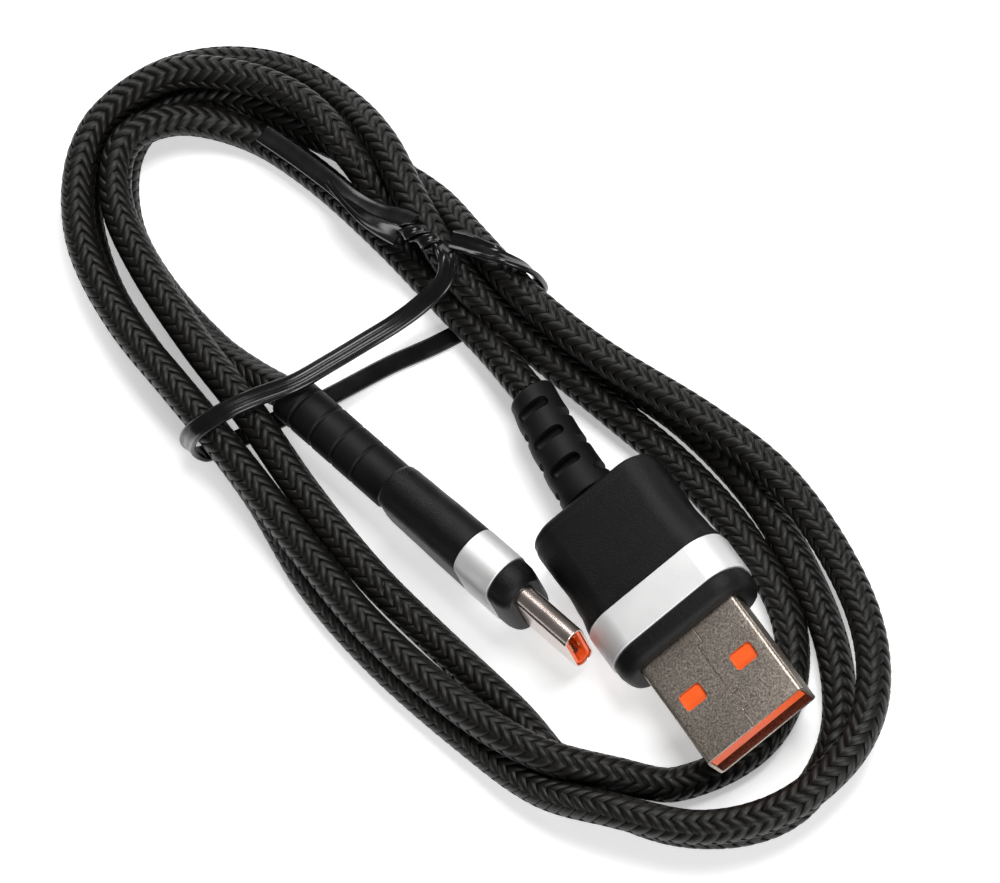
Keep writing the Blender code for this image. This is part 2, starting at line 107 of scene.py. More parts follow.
class NodeTree:
    """A tree of nodes under construction."""

    def __init__(self, tree):
        self.tree = tree

    def join(self, value, entry):
        """Puts a number, a colour or another node's socket into a node's input."""
        if isinstance(value, Wire):
            self.tree.links.new(value.socket, entry)
        else:
            entry.default_value = value

    def node(self, kind, settings=None, inputs=None, **named):
        """One node of a kind: its settings are made first, then the values or links of its sockets."""
        node = self.tree.nodes.new(kind)
        for setting, value in (settings or {}).items():
            setattr(node, setting, value)
        for socket, value in {**(inputs or {}), **named}.items():
            self.join(value, node.inputs[socket])
        return node

    def add(self, kind, settings=None, inputs=None, output=0, **named):
        """A new node's output, by number or by name."""
        return Wire(self, self.node(kind, settings, inputs, **named).outputs[output])

    def maths(self, operation, *values):
        return self.add("ShaderNodeMath", {"operation": operation}, dict(enumerate(values)))


class Finish(NodeTree):
    """A material's tree: what varies over the surface goes into its one Principled shader."""

    def __init__(self, name):
        self.material = bpy.data.materials.new(name)
        self.material.use_nodes = True
        super().__init__(self.material.node_tree)
        self.shader = self.tree.nodes["Principled BSDF"]

    def place(self, stretch=(1.0, 1.0, 1.0), turn=(0.0, 0.0, 0.0)):
        """The object's own coordinates, turned and then stretched."""
        where = self.add("ShaderNodeTexCoord", output="Object")
        turned = self.add("ShaderNodeMapping", Vector=where, Rotation=turn)
        return self.add("ShaderNodeMapping", Vector=turned, Scale=stretch)

    def noise(self, where, scale, detail=2.0, roughness=0.5):
        """Cloudy noise from 0 to 1, its scale in cycles per metre of the coordinates."""
        return self.add("ShaderNodeTexNoise", Vector=where, Scale=scale, Detail=detail, Roughness=roughness)

    def blend(self, share, first, second):
        """Two colours mixed by a share, each a triple or another node's colour."""
        first, second = [(*c, 1.0) if isinstance(c, tuple) else c for c in (first, second)]
        return self.add("ShaderNodeMix", {"data_type": "RGBA"}, {0: share, 6: first, 7: second}, output=2)

    def bump(self, height, strength, distance):
        """Surface relief from a height, its distance in metres."""
        return self.add("ShaderNodeBump", Strength=strength, Distance=distance, Height=height)

    def set(self, **values):
        """Values or links for the shader's sockets, with underscores for the spaces in their names."""
        for socket, value in values.items():
            self.join(value, self.shader.inputs[socket.replace("_", " ")])


def smooth_curve(points, steps=8):
    """A smooth curve through points in millimetres, each span a Bezier whose ends follow the neighbours."""
    points = [Vector(point) * MM for point in points]
    tangents = []
    for before, here, after in zip(points[:1] + points, points, points[1:] + points[-1:]):
        tangents.append((after - before) / ((here - before).length + (after - here).length))
    curve = []
    for start, end, leave, arrive in zip(points, points[1:], tangents, tangents[1:]):
        reach = (end - start).length / 3
        curve += interpolate_bezier(start, start + leave * reach, end - arrive * reach, end, steps + 1)[:-1]
    return curve + [points[-1]]


def even_points(curve, count):
    """The given number of points, evenly spaced along the curve."""
    lengths = [0.0]
    for start, end in zip(curve, curve[1:]):
        lengths.append(lengths[-1] + (end - start).length)
    spaced, index = [], 0
    for step in range(count):
        target = lengths[-1] * step / (count - 1)
        while index < len(curve) - 2 and lengths[index + 1] < target:
            index += 1
        share = (target - lengths[index]) / (lengths[index + 1] - lengths[index])
        spaced.append(curve[index].lerp(curve[index + 1], share))
    return spaced


def mesh_piece(name, mesh, finish, smooth=None):
    """A piece from a finished mesh, smooth all over or up to an angle between faces."""
    piece = bpy.data.objects.new(name, mesh)
    bpy.context.collection.objects.link(piece)
    if finish is not None:
        mesh.materials.clear()
        mesh.materials.append(finish)
    if smooth is not None:
        mesh.shade_smooth()
        mesh.set_sharp_from_angle(angle=radians(smooth))
    return piece


def baked(piece):
    """Turns the piece's evaluated shape into its plain mesh, and clears its modifiers."""
    graph = bpy.context.evaluated_depsgraph_get()
    shape = piece.evaluated_get(graph)
    mesh = bpy.data.meshes.new_from_object(shape, preserve_all_data_layers=True, depsgraph=graph)
    piece.modifiers.clear()
    piece.data = mesh
    return piece


# The cord's centreline in millimetres, from one strain relief to the other.
route = [
    (3.4, 9.8, 5.1), (-3.4, 10.9, 3.7), (-10.6, 11.6, 2.7), (-22.0, 12.6, 2.2), (-33.0, 12.7, 1.8),
    (-41.1, 11.3, 2.0), (-47.0, 7.2, 4.2), (-48.6, 1.7, 5.7), (-44.9, -3.3, 5.6), (-37.5, -6.5, 5.7),
    (-26.7, -9.1, 5.9), (-17.1, -10.7, 6.3), (-6.5, -13.0, 5.1), (4.7, -14.6, 4.4), (14.0, -14.8, 2.1),
    (25.0, -15.0, 1.9), (34.7, -15.9, 1.9), (43.9, -13.5, 1.9), (50.1, -8.6, 1.8), (52.7, -2.8, 1.9),
    (50.8, 4.5, 1.8), (45.0, 10.4, 1.9), (36.9, 14.6, 1.8), (27.5, 17.5, 1.9), (16.6, 18.5, 1.9),
    (5.3, 17.3, 2.0), (-5.8, 16.8, 2.9), (-13.9, 15.8, 2.1), (-23.4, 15.4, 2.5), (-29.6, 16.3, 5.3),
    (-37.5, 17.0, 5.5), (-45.1, 14.6, 5.3), (-50.8, 9.9, 5.3), (-52.5, 2.2, 5.4), (-50.0, -3.7, 5.7),
    (-43.9, -9.1, 5.7), (-34.9, -12.3, 5.6), (-24.2, -13.9, 6.3), (-14.6, -15.2, 6.1), (-2.0, -17.2, 5.5),
    (9.0, -18.6, 5.6), (22.0, -18.4, 5.8), (31.1, -16.6, 5.8), (37.8, -12.8, 3.9), (42.2, -9.4, 1.8),
    (45.4, -1.9, 1.9), (44.2, 4.4, 1.8), (38.9, 10.1, 1.9), (30.0, 13.3, 1.8), (20.8, 14.6, 1.9),
    (9.5, 14.5, 1.9), (-1.8, 13.9, 3.2), (-11.0, 14.1, 5.3), (-20.1, 16.6, 5.9), (-27.8, 19.3, 5.2),
    (-35.5, 20.3, 2.3), (-43.1, 19.0, 1.8), (-49.7, 14.5, 1.9), (-53.6, 8.2, 1.8), (-53.5, 1.5, 1.9),
    (-49.1, -5.2, 1.8), (-41.0, -10.2, 1.9), (-31.8, -12.7, 1.9), (-22.2, -14.0, 2.8), (-11.4, -15.9, 2.2),
    (-0.6, -18.9, 1.8), (10.4, -20.1, 1.9), (23.5, -19.9, 2.4), (33.0, -19.0, 3.7), (40.3, -16.0, 5.6),
    (48.3, -11.4, 5.6), (52.9, -4.9, 5.6), (54.0, 3.0, 5.4), (52.0, 9.0, 5.4), (46.5, 14.2, 4.6),
    (37.9, 18.1, 3.4), (28.6, 20.0, 4.7), (19.1, 19.4, 5.5), (6.3, 17.4, 5.6), (-3.2, 16.8, 6.4),
    (-12.6, 17.8, 5.2), (-20.2, 18.8, 2.6), (-28.2, 17.8, 1.8), (-37.3, 15.5, 1.9), (-44.9, 13.5, 1.8),
    (-49.9, 7.7, 1.9), (-49.4, 1.4, 1.8), (-43.8, -4.1, 1.9), (-36.2, -6.7, 1.8), (-26.4, -7.7, 2.3),
    (-20.9, -7.4, 3.5), (-15.5, -6.7, 5.5),
]
cord_diameter = 0.0035
core_radius = 0.00153
centreline = [Vector((p.x, p.y, max(p.z, cord_diameter / 2))) for p in smooth_curve(route)]
cord_path = even_points(centreline, 820)

jacket = Finish("cord_jacket")
jacket_spots = jacket.noise(jacket.place(), 900.0)
jacket_shade = jacket.blend(jacket_spots, (0.002, 0.002, 0.002), (0.005, 0.005, 0.005))
jacket.set(Base_Color=jacket_shade, Roughness=0.7)

cord_curve = bpy.data.curves.new("cord_core", "CURVE")
cord_curve.dimensions = "3D"
cord_curve.bevel_depth = core_radius
cord_curve.bevel_resolution = 3
cord_curve.use_fill_caps = True
cord_spline = cord_curve.splines.new("POLY")
cord_spline.points.add(len(cord_path) - 1)
for corner, point in zip(cord_spline.points, cord_path):
    corner.co = (*point, 1.0)
cord = bpy.data.objects.new("cord_core", cord_curve)
cord_curve.materials.append(jacket.material)
bpy.context.collection.objects.link(cord)


class Maker(NodeTree):
    """A geometry tree, with named inputs for its sizes."""

    def __init__(self, name, inputs):
        super().__init__(bpy.data.node_groups.new(name, "GeometryNodeTree"))
        self.tree.interface.new_socket("Geometry", in_out="INPUT", socket_type="NodeSocketGeometry")
        self.tree.interface.new_socket("Geometry", in_out="OUTPUT", socket_type="NodeSocketGeometry")
        self.keys = {}
        for title, (kind, value) in inputs.items():
            socket = self.tree.interface.new_socket(title, in_out="INPUT", socket_type=kind)
            socket.default_value = value
            self.keys[title] = socket.identifier
        self.entry = self.tree.nodes.new("NodeGroupInput")
        self.exit = self.tree.nodes.new("NodeGroupOutput")

    def given(self, title):
        """One of the tree's own inputs."""
        return Wire(self, self.entry.outputs[title])

    def vectors(self, operation, *values):
        """Vector maths, where a scale's factor sits in the node's fourth socket."""
        sockets = (0, 3) if operation == "SCALE" else (0, 1)
        return self.add("ShaderNodeVectorMath", {"operation": operation}, dict(zip(sockets, values)))

    def kept(self, geometry, kind, value):
        """The geometry with the value kept on its points, and the value as kept."""
        node = self.node("GeometryNodeCaptureAttribute")
        node.capture_items.new(kind, "kept")
        self.join(geometry, node.inputs[0])
        self.join(value, node.inputs[1])
        return Wire(self, node.outputs[0]), Wire(self, node.outputs[1])

    def end(self, geometry, finish):
        """Realises what was made, gives it its material and ends the tree."""
        real = self.add("GeometryNodeRealizeInstances", inputs={0: geometry})
        self.join(self.add("GeometryNodeSetMaterial", Geometry=real, Material=finish), self.exit.inputs[0])

    def run(self, piece, **values):
        """Runs the tree on a piece and leaves its result as a plain mesh."""
        modifier = piece.modifiers.new("made", "NODES")
        modifier.node_group = self.tree
        for title, value in values.items():
            modifier[self.keys[title]] = value
        return baked(piece)


def polyline(name, points):
    """A piece that is only a line through the points, for a tree to follow."""
    mesh = bpy.data.meshes.new(name)
    mesh.from_pydata([tuple(p) for p in points], [(i, i + 1) for i in range(len(points) - 1)], [])
    return mesh_piece(name, mesh, None)


braid = Finish("braided_nylon")
lay = braid.add("ShaderNodeAttribute", {"attribute_name": "lay"}, output="Vector")
filaments = braid.noise(braid.add("ShaderNodeMapping", Vector=lay, Scale=(5.5, 260.0, 1.0)), 1.0, 3.0, 0.6)
bundles = braid.noise(braid.place(), 420.0, 2.0)
thread_shade = braid.blend(filaments, (0.0010, 0.0010, 0.0009), (0.0105, 0.0094, 0.0074))
braid.set(
    Base_Color=braid.blend(bundles * 0.5, thread_shade, (0.002, 0.002, 0.0018)),
    Roughness=0.30 + filaments * 0.26,
    Normal=braid.bump(filaments, 0.6, 0.00006),
    Specular_IOR_Level=0.28,
)

weave = Maker(
    "braid_bundles",
    {
        "Middle Radius": ("NodeSocketFloat", 0.00160),
        "Wave": ("NodeSocketFloat", 0.00007),
        "Lay Length": ("NodeSocketFloat", 0.0105),
        "Hand": ("NodeSocketFloat", 1.0),
        "Bundles": ("NodeSocketInt", 4),
        "Points": ("NodeSocketInt", 2850),
        "Half Width": ("NodeSocketFloat", 0.00050),
        "Half Thickness": ("NodeSocketFloat", 0.00008),
        "First": ("NodeSocketFloat", 0.0),
        "Finish": ("NodeSocketMaterial", None),
    },
)
line = weave.add("GeometryNodeMeshToCurve", inputs={0: weave.given("Geometry")})
line = weave.add("GeometryNodeResampleCurve", Curve=line, Count=weave.given("Points"))
line, along = weave.kept(line, "FLOAT", weave.add("GeometryNodeSplineParameter", output="Length"))
line, outward = weave.kept(line, "VECTOR", weave.add("GeometryNodeInputNormal"))
line, forward = weave.kept(line, "VECTOR", weave.add("GeometryNodeInputTangent"))
bundle_count = weave.given("Bundles")
copies = weave.node("GeometryNodeDuplicateElements", {"domain": "SPLINE"}, Geometry=line, Amount=bundle_count)
strands = Wire(weave, copies.outputs["Geometry"])
turns = along * weave.given("Hand") / weave.given("Lay Length")
share = Wire(weave, copies.outputs["Duplicate Index"]) / bundle_count + weave.given("First")
angle = (turns + share) * (2 * pi)
crossings = weave.maths("SINE", angle * 4.0) * 1.7
over = weave.maths("MAXIMUM", weave.maths("MINIMUM", crossings, 1.0), -1.0)
radius = weave.given("Middle Radius") + over * weave.given("Wave") * weave.given("Hand")
sideward = weave.vectors("CROSS_PRODUCT", forward, outward)
spoke = weave.vectors(
    "ADD",
    weave.vectors("SCALE", outward, weave.maths("COSINE", angle)),
    weave.vectors("SCALE", sideward, weave.maths("SINE", angle)),
)
wound = weave.add("GeometryNodeSetPosition", Geometry=strands, Offset=weave.vectors("SCALE", spoke, radius))
wound = weave.add("GeometryNodeSetCurveNormal", {"mode": "FREE"}, Curve=wound, Normal=spoke)
section = weave.add("GeometryNodeCurvePrimitiveCircle", {"mode": "RADIUS"}, Resolution=6, Radius=1.0)
section, across = weave.kept(section, "VECTOR", weave.add("GeometryNodeInputPosition"))
halves = {0: weave.given("Half Thickness"), 1: weave.given("Half Width")}
flattened = weave.vectors("MULTIPLY", across, weave.add("ShaderNodeCombineXYZ", inputs=halves))
section = weave.add("GeometryNodeSetPosition", Geometry=section, Position=flattened)
swept = {"Curve": wound, "Profile Curve": section, "Fill Caps": True}
ribbon = weave.add("GeometryNodeCurveToMesh", inputs=swept)
crossways = weave.add("ShaderNodeSeparateXYZ", inputs={0: across}, output=1)
lengthways = weave.add("ShaderNodeCombineXYZ", inputs={0: crossways, 1: along, 2: share})
ribbon = weave.add(
    "GeometryNodeStoreNamedAttribute",
    {"data_type": "FLOAT_VECTOR", "domain": "POINT"},
    {"Geometry": ribbon, "Name": "lay", "Value": lengthways},
)
ribbon = weave.add("GeometryNodeSetShadeSmooth", inputs={"Geometry": ribbon, "Shade Smooth": True})
weave.end(ribbon, weave.given("Finish"))

for side, hand in (("right", 1.0), ("left", -1.0)):
    for layer, first in enumerate((0.0, 0.125), 1):
        line_piece = polyline(f"cord_braid_{side}_{layer}", cord_path)
        bundle = weave.run(line_piece, Hand=hand, First=first, Finish=braid.material)
        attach(bundle, "coil")
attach(cord, "coil")
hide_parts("cord")

# ---------------------------------------------------------------------------
# The twist tie: a flat strip of black vinyl over a wire, with a rib along each edge and a lower one
# between them. Its band goes once round the coil, and its ends are wrung together over the strands.

vinyl = Finish("tie_vinyl")
vinyl_wear = vinyl.noise(vinyl.place(), 700.0, 3.0)
vinyl.set(
    Base_Color=vinyl.blend(vinyl_wear, (0.003, 0.003, 0.0032), (0.007, 0.007, 0.0074)),
    Roughness=0.16 + vinyl_wear * 0.14,
    Normal=vinyl.bump(vinyl_wear, 0.2, 0.00002),
    Specular_IOR_Level=0.36,
)

# The tie's three stretches as centrelines in millimetres, and its section as points across and up.
tie_band = [
    (-14.1, 14.8, 8.5), (-11.7, 14.1, 9.1), (-10.5, 12.2, 8.6), (-10.9, 9.2, 7.7), (-11.6, 5.9, 7.4),
    (-12.4, 2.5, 7.7), (-13.2, -1.6, 8.5), (-14.2, -5.8, 9.2), (-16.1, -9.5, 9.3), (-17.5, -12.9, 9.4),
    (-18.8, -16.1, 8.2), (-19.8, -17.2, 5.1), (-20.1, -17.2, 2.2), (-19.7, -16.5, 0.7), (-18.9, -14.6, 0.4),
    (-17.8, -12.0, 0.4), (-16.2, -7.9, 0.4), (-14.4, -3.9, 0.4), (-11.8, 3.3, 0.4), (-10.0, 7.3, 0.4),
    (-9.0, 9.9, 0.4), (-7.8, 13.2, 0.4), (-6.9, 15.7, 0.4), (-6.2, 18.0, 0.5), (-5.5, 19.3, 1.8),
    (-5.2, 19.4, 4.2), (-5.5, 19.0, 7.2), (-7.3, 17.9, 9.2), (-9.4, 17.1, 9.5), (-11.2, 16.5, 9.4),
    (-12.8, 15.8, 9.2),
]
tie_long_end = [
    (-17.6, 14.6, 8.3), (-19.3, 14.4, 7.5), (-21.9, 13.5, 6.3), (-25.5, 12.9, 5.1), (-29.5, 12.8, 4.6),
    (-34.0, 12.5, 4.5), (-38.6, 12.0, 4.5),
]
tie_short_end = [
    (-17.6, 12.6, 8.4), (-19.5, 12.2, 8.2), (-22.5, 11.9, 7.6), (-27.8, 12.1, 7.0),
]
tie_profile = [
    (-1.02, 0.0), (-0.98, 0.20), (-0.80, 0.30), (-0.58, 0.20), (-0.46, 0.12), (-0.20, 0.14), (0.0, 0.20),
    (0.20, 0.14), (0.46, 0.12), (0.58, 0.20), (0.80, 0.30), (0.98, 0.20), (1.02, 0.0), (0.98, -0.20),
    (0.80, -0.28), (0.40, -0.24), (-0.40, -0.24), (-0.80, -0.28), (-0.98, -0.20),
]


def lofted(rings, closed=False):
    """A mesh through rings of points: closed joins the last to the first, otherwise both ends are capped."""
    shape = bmesh.new()
    rows = [[shape.verts.new(point) for point in ring] for ring in rings]
    pairs = list(zip(rows, rows[1:]))
    if closed:
        pairs.append((rows[-1], rows[0]))
    else:
        shape.faces.new(rows[0][::-1])
        shape.faces.new(rows[-1])
    for first, second in pairs:
        for corner in range(len(first)):
            after = (corner + 1) % len(first)
            shape.faces.new((first[corner], first[after], second[after], second[corner]))
    if shape.calc_volume(signed=True) < 0:
        bmesh.ops.reverse_faces(shape, faces=shape.faces)
    mesh = bpy.data.meshes.new("lofted")
    shape.to_mesh(mesh)
    shape.free()
    return mesh


def strip(path, across, twist):
    """The tie's ribbed section along a path, its width near the direction across, and twisted by its end."""
    rings = []
    for index, point in enumerate(path):
        tangent = (path[min(index + 1, len(path) - 1)] - path[max(index - 1, 0)]).normalized()
        wide = (across - tangent * across.dot(tangent)).normalized()
        wide.rotate(Quaternion(tangent, twist * index / (len(path) - 1)))
        thick = tangent.cross(wide)
        rings.append([point + (wide * y + thick * z) * MM for y, z in tie_profile])
    return lofted(rings)


tie_paths = {
    "band": (even_points(smooth_curve(tie_band), 260), Vector((1, 0, 0)), 0.0),
    "long_end": (even_points(smooth_curve(tie_long_end), 60), Vector((0, 1, 0)), 0.0),
    "short_end": (even_points(smooth_curve(tie_short_end), 40), Vector((0, 1, 0)), pi / 2),
}
for part, (path, across, twist) in tie_paths.items():
    piece = mesh_piece(f"twist_tie_{part}", strip(path, across, twist), vinyl.material, 50)
    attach(piece, "coil")
    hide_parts(f"tie_{part}")

knot_start, knot_end = Vector((-0.0136, 0.0144, 0.0087)), Vector((-0.0180, 0.0136, 0.0083))
knot_turns, knot_steps = 1.1, 60
knot_half_width, knot_half_thickness, knot_spread = 0.95, 0.34, 0.36
knot_corners = [2 * pi * corner / 24 for corner in range(24)]
knot_profile = [(knot_half_width * cos(c), knot_half_thickness * sin(c)) for c in knot_corners]
for number in range(2):
    rings = []
    for step in range(knot_steps + 1):
        angle = 2 * pi * (knot_turns * step / knot_steps + number / 2)
        thick = Vector((0, cos(angle), sin(angle)))
        wide = Vector((0, -sin(angle), cos(angle)))
        centre = knot_start.lerp(knot_end, step / knot_steps) + thick * knot_spread * MM
        rings.append([centre + (wide * y + thick * z) * MM for y, z in knot_profile])
    piece = mesh_piece(f"twist_tie_knot_{number + 1}", lofted(rings), vinyl.material, 50)
    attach(piece, "coil")
    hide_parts("tie_knot")

# ---------------------------------------------------------------------------
# The USB-A strain relief: black moulded rubber, tapered, with three open slots over each broad side
# and a pair at the sides between them, which let the rubber flex. It is moulded over the cord.

rubber = Finish("relief_rubber")
rubber_grain = rubber.noise(rubber.place(), 5200.0, 3.0, 0.6)
rubber_haze = rubber.noise(rubber.place(), 380.0, 2.0)
rubber.set(
    Base_Color=rubber.blend(rubber_haze, (0.0030, 0.0030, 0.0033), (0.0062, 0.0062, 0.0066)),
    Roughness=0.46 + rubber_haze * 0.16,
    Normal=rubber.bump(rubber_grain, 0.5, 0.00004),
    Specular_IOR_Level=0.20,
)


def rounded_ring(x, width, height, corner, side=0.0, steps=9):
    """A rounded rectangle across the plug's x axis, in millimetres."""
    ring = []
    for quarter, (sign_y, sign_z) in enumerate(((1, 1), (-1, 1), (-1, -1), (1, -1))):
        for step in range(steps + 1):
            angle = (quarter + step / steps) * pi / 2
            y = side + sign_y * (width / 2 - corner) + corner * cos(angle)
            z = sign_z * (height / 2 - corner) + corner * sin(angle)
            ring.append(Vector((x, y, z)) * MM)
    return ring


def round_ring(x, diameter, side=0.0, points=40):
    """A circle across the plug's x axis, in millimetres."""
    angles = [2 * pi * point / points for point in range(points)]
    return [Vector((x, side + diameter / 2 * cos(a), diameter / 2 * sin(a))) * MM for a in angles]


def eased(stations, x):
    """A size read off stations of (x, size), changing smoothly between them."""
    for (x0, size0), (x1, size1) in zip(stations, stations[1:]):
        if x <= x1:
            share = max(0.0, (x - x0) / (x1 - x0))
            return size0 + (size1 - size0) * share * share * (3 - 2 * share)
    return stations[-1][1]


def plain_block(low, high, bevel=0.0):
    """A box between two corners in millimetres, with its edges rounded."""
    shape = bmesh.new()
    size = (Vector(high) - Vector(low)) * MM
    bmesh.ops.create_cube(shape, size=1.0, matrix=Matrix.Diagonal((*size, 1.0)))
    bmesh.ops.translate(shape, verts=shape.verts, vec=(Vector(high) + Vector(low)) / 2 * MM)
    if bevel:
        edges = shape.edges[:]
        bmesh.ops.bevel(shape, geom=edges, offset=bevel * MM, segments=3, affect="EDGES", profile=0.5)
    mesh = bpy.data.meshes.new("block")
    shape.to_mesh(mesh)
    shape.free()
    return mesh


def gathered(meshes):
    """Several separate meshes as one, to cut with or to show as one piece."""
    shape = bmesh.new()
    for mesh in meshes:
        shape.from_mesh(mesh)
    whole = bpy.data.meshes.new("gathered")
    shape.to_mesh(whole)
    shape.free()
    return whole


def carved(piece, cutter_mesh):
    """Cuts a mesh out of the piece for good."""
    cutter = bpy.data.objects.new("cutter", cutter_mesh)
    bpy.context.collection.objects.link(cutter)
    modifier = piece.modifiers.new("cut", "BOOLEAN")
    modifier.solver = "EXACT"
    modifier.object = cutter
    bpy.context.view_layer.update()
    baked(piece)
    bpy.data.objects.remove(cutter)
    return piece


def softened(piece, width, angle=30.0, segments=3):
    """Rounds every edge sharper than the angle, and smooths the shading over the result."""
    piece.data.shade_smooth()
    modifier = piece.modifiers.new("round", "BEVEL")
    modifier.width = width * MM
    modifier.segments = segments
    modifier.limit_method = "ANGLE"
    modifier.angle_limit = radians(angle)
    modifier.harden_normals = True
    bpy.context.view_layer.update()
    return baked(piece)


def settled(piece, frame_of_plug, body, node):
    """Moves the piece's mesh to its plug's place, ties it to its body, and hides the node it stands for."""
    piece.data.transform(frame_of_plug)
    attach(piece, body)
    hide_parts(node)


def plug_frame(place, roll, pitch, yaw):
    """Where a plug lies: the middle of its relief's rear end, in millimetres, and its turn in degrees."""
    turned = Euler((radians(roll), radians(pitch), radians(yaw))).to_matrix().to_4x4()
    return Matrix.Translation(Vector(place) * MM) @ turned


a_yaw = -11.9
a_frame = plug_frame((3.4, 8.6, 4.95), 10.8, -2.9, a_yaw)
a_relief_length = 13.2
a_side = [(0.0, 1.15), (3.0, 0.75), (6.5, 0.35), (10.0, 0.1), (a_relief_length, 0.0)]
a_width = [(0.0, 5.0), (3.0, 5.3), (6.5, 5.6), (10.0, 5.9), (a_relief_length, 6.2)]
rings = [round_ring(0.0, 4.4, 1.15), round_ring(0.1, 4.75, 1.14), round_ring(0.3, 4.98, 1.12)]
for step in range(1, 40):
    x = 0.3 + (a_relief_length - 0.3) * step / 39
    rings.append(round_ring(x, eased(a_width, x), eased(a_side, x)))
rings += [round_ring(13.3, 6.0), round_ring(13.3, 4.6), round_ring(14.5, 4.6)]
a_relief = mesh_piece("usb_a_strain_relief_sleeve", lofted(rings), rubber.material)
broad_slots, side_slots = (2.4, 6.0, 9.6), (4.2, 7.8, 11.4)
slots = []
for x in broad_slots:
    side = eased(a_side, x)
    for low, high in ((1.45, 4.0), (-4.0, -1.45)):
        slots.append(plain_block((x - 0.62, side - 1.8, low), (x + 0.62, side + 1.8, high), 0.55))
for x in side_slots:
    side = eased(a_side, x)
    for low, high in ((1.65, 4.0), (-4.0, -1.65)):
        slots.append(plain_block((x - 0.5, side + low, -1.95), (x + 0.5, side + high, 1.95), 0.42))
softened(carved(a_relief, gathered(slots)), 0.14, 38.0)
a_relief.data.transform(a_frame)
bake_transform(a_relief)
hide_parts("usb_a_strain_relief")

# ---------------------------------------------------------------------------
# The USB-A housing: a black moulded grip with waisted sides and a fine spark-eroded grain, closed in
# front by a black nose that carries the metal ring.

grip = Finish("overmould_black")
grip_grain = grip.noise(grip.place(), 6800.0, 2.0, 0.8)
grip_haze = grip.noise(grip.place(), 160.0, 3.0)
grip.set(
    Base_Color=grip.blend(grip_haze, (0.0018, 0.0018, 0.0020), (0.0042, 0.0042, 0.0045)),
    Roughness=0.30 + grip_haze * 0.12 + grip_grain * 0.10,
    Normal=grip.bump(grip_grain, 0.8, 0.00007),
    Specular_IOR_Level=0.20,
)


def housing(stations):
    """The rings of a moulding whose (x, width, height, corner) eases from station to station."""
    widths = [(x, w) for x, w, h, r in stations]
    heights = [(x, h) for x, w, h, r in stations]
    corners = [(x, r) for x, w, h, r in stations]
    rings = []
    for step in range(47):
        x = stations[0][0] + (stations[-1][0] - stations[0][0]) * step / 46
        rings.append(rounded_ring(x, eased(widths, x), eased(heights, x), eased(corners, x)))
    return rings


a_body_rear = (
    (13.5, 12.4, 5.4, 2.3), (13.52, 13.0, 5.8, 2.5), (13.65, 14.0, 6.6, 2.8), (13.85, 14.7, 7.05, 3.0),
)
a_body_stations = (
    (14.1, 15.1, 7.3, 3.1), (15.2, 15.5, 7.6, 3.2), (18.0, 15.4, 7.8, 3.2),
    (20.5, 15.2, 7.8, 3.2), (23.0, 15.6, 8.0, 3.3), (25.4, 16.4, 8.2, 3.4),
)
a_body_inside = (
    (25.4, 12.9, 5.2, 1.2), (15.1, 12.9, 5.2, 1.2), (15.1, 5.0, 5.0, 2.499), (13.5, 5.0, 5.0, 2.499),
)
rings = [rounded_ring(*station) for station in a_body_rear]
rings += housing(a_body_stations)
rings += [rounded_ring(*station) for station in a_body_inside]
a_body = mesh_piece("usb_a_grip", lofted(rings, closed=True), grip.material)
settled(softened(a_body, 0.16, 42.0), a_frame, "usb_a_plug", "usb_a_overmould")

a_nose_stations = (
    (25.6, 15.0, 6.8, 2.6), (29.9, 15.0, 6.8, 2.6), (29.9, 16.05, 7.85, 3.25), (30.0, 16.25, 8.05, 3.35),
    (30.9, 16.2, 8.0, 3.3), (31.4, 15.9, 7.7, 3.2), (31.8, 15.4, 7.2, 3.0), (32.0, 14.7, 6.5, 2.8),
    (32.0, 12.1, 4.6, 0.55), (25.6, 12.1, 4.6, 0.55),
)
rings = [rounded_ring(*station) for station in a_nose_stations]
a_nose = mesh_piece("usb_a_front_nose", lofted(rings, closed=True), grip.material)
settled(softened(a_nose, 0.12, 35.0), a_frame, "usb_a_plug", "usb_a_nose")

# ---------------------------------------------------------------------------
# The USB-A ring: a band of satin silver metal, its edges turned off finely. It is pressed over the
# nose's core, between the grip and the nose.

satin = Finish("ring_satin_silver")
satin_grain = satin.noise(satin.place(), 5200.0, 2.0, 0.7)
satin_haze = satin.noise(satin.place(), 240.0, 2.0)
satin.set(
    Base_Color=satin.blend(satin_haze, (0.80, 0.80, 0.80), (0.89, 0.89, 0.885)),
    Metallic=1.0,
    Roughness=0.54 + satin_haze * 0.08 + satin_grain * 0.08,
    Normal=satin.bump(satin_grain, 0.35, 0.00003),
)


def band(name, rear, front, outer, inner):
    """A ring with a fine turned edge at each end, from an outer and an inner (width, height, corner)."""
    rings = [rounded_ring(x, *outer, steps=12) for x in (rear, front)]
    rings += [rounded_ring(x, *inner, steps=12) for x in (front, rear)]
    return softened(mesh_piece(name, lofted(rings, closed=True), satin.material), 0.10, 60.0)


a_ring = band("usb_a_metal_ring", 25.5, 29.8, (16.6, 8.4, 3.5), (15.3, 7.1, 2.8))
settled(a_ring, a_frame, "usb_a_plug", "usb_a_ring")

# ---------------------------------------------------------------------------
# The USB-A shell: folded nickel-plated steel, its edges meeting in a dovetailed seam on the top, with
# two windows in each broad side for the socket's springs.

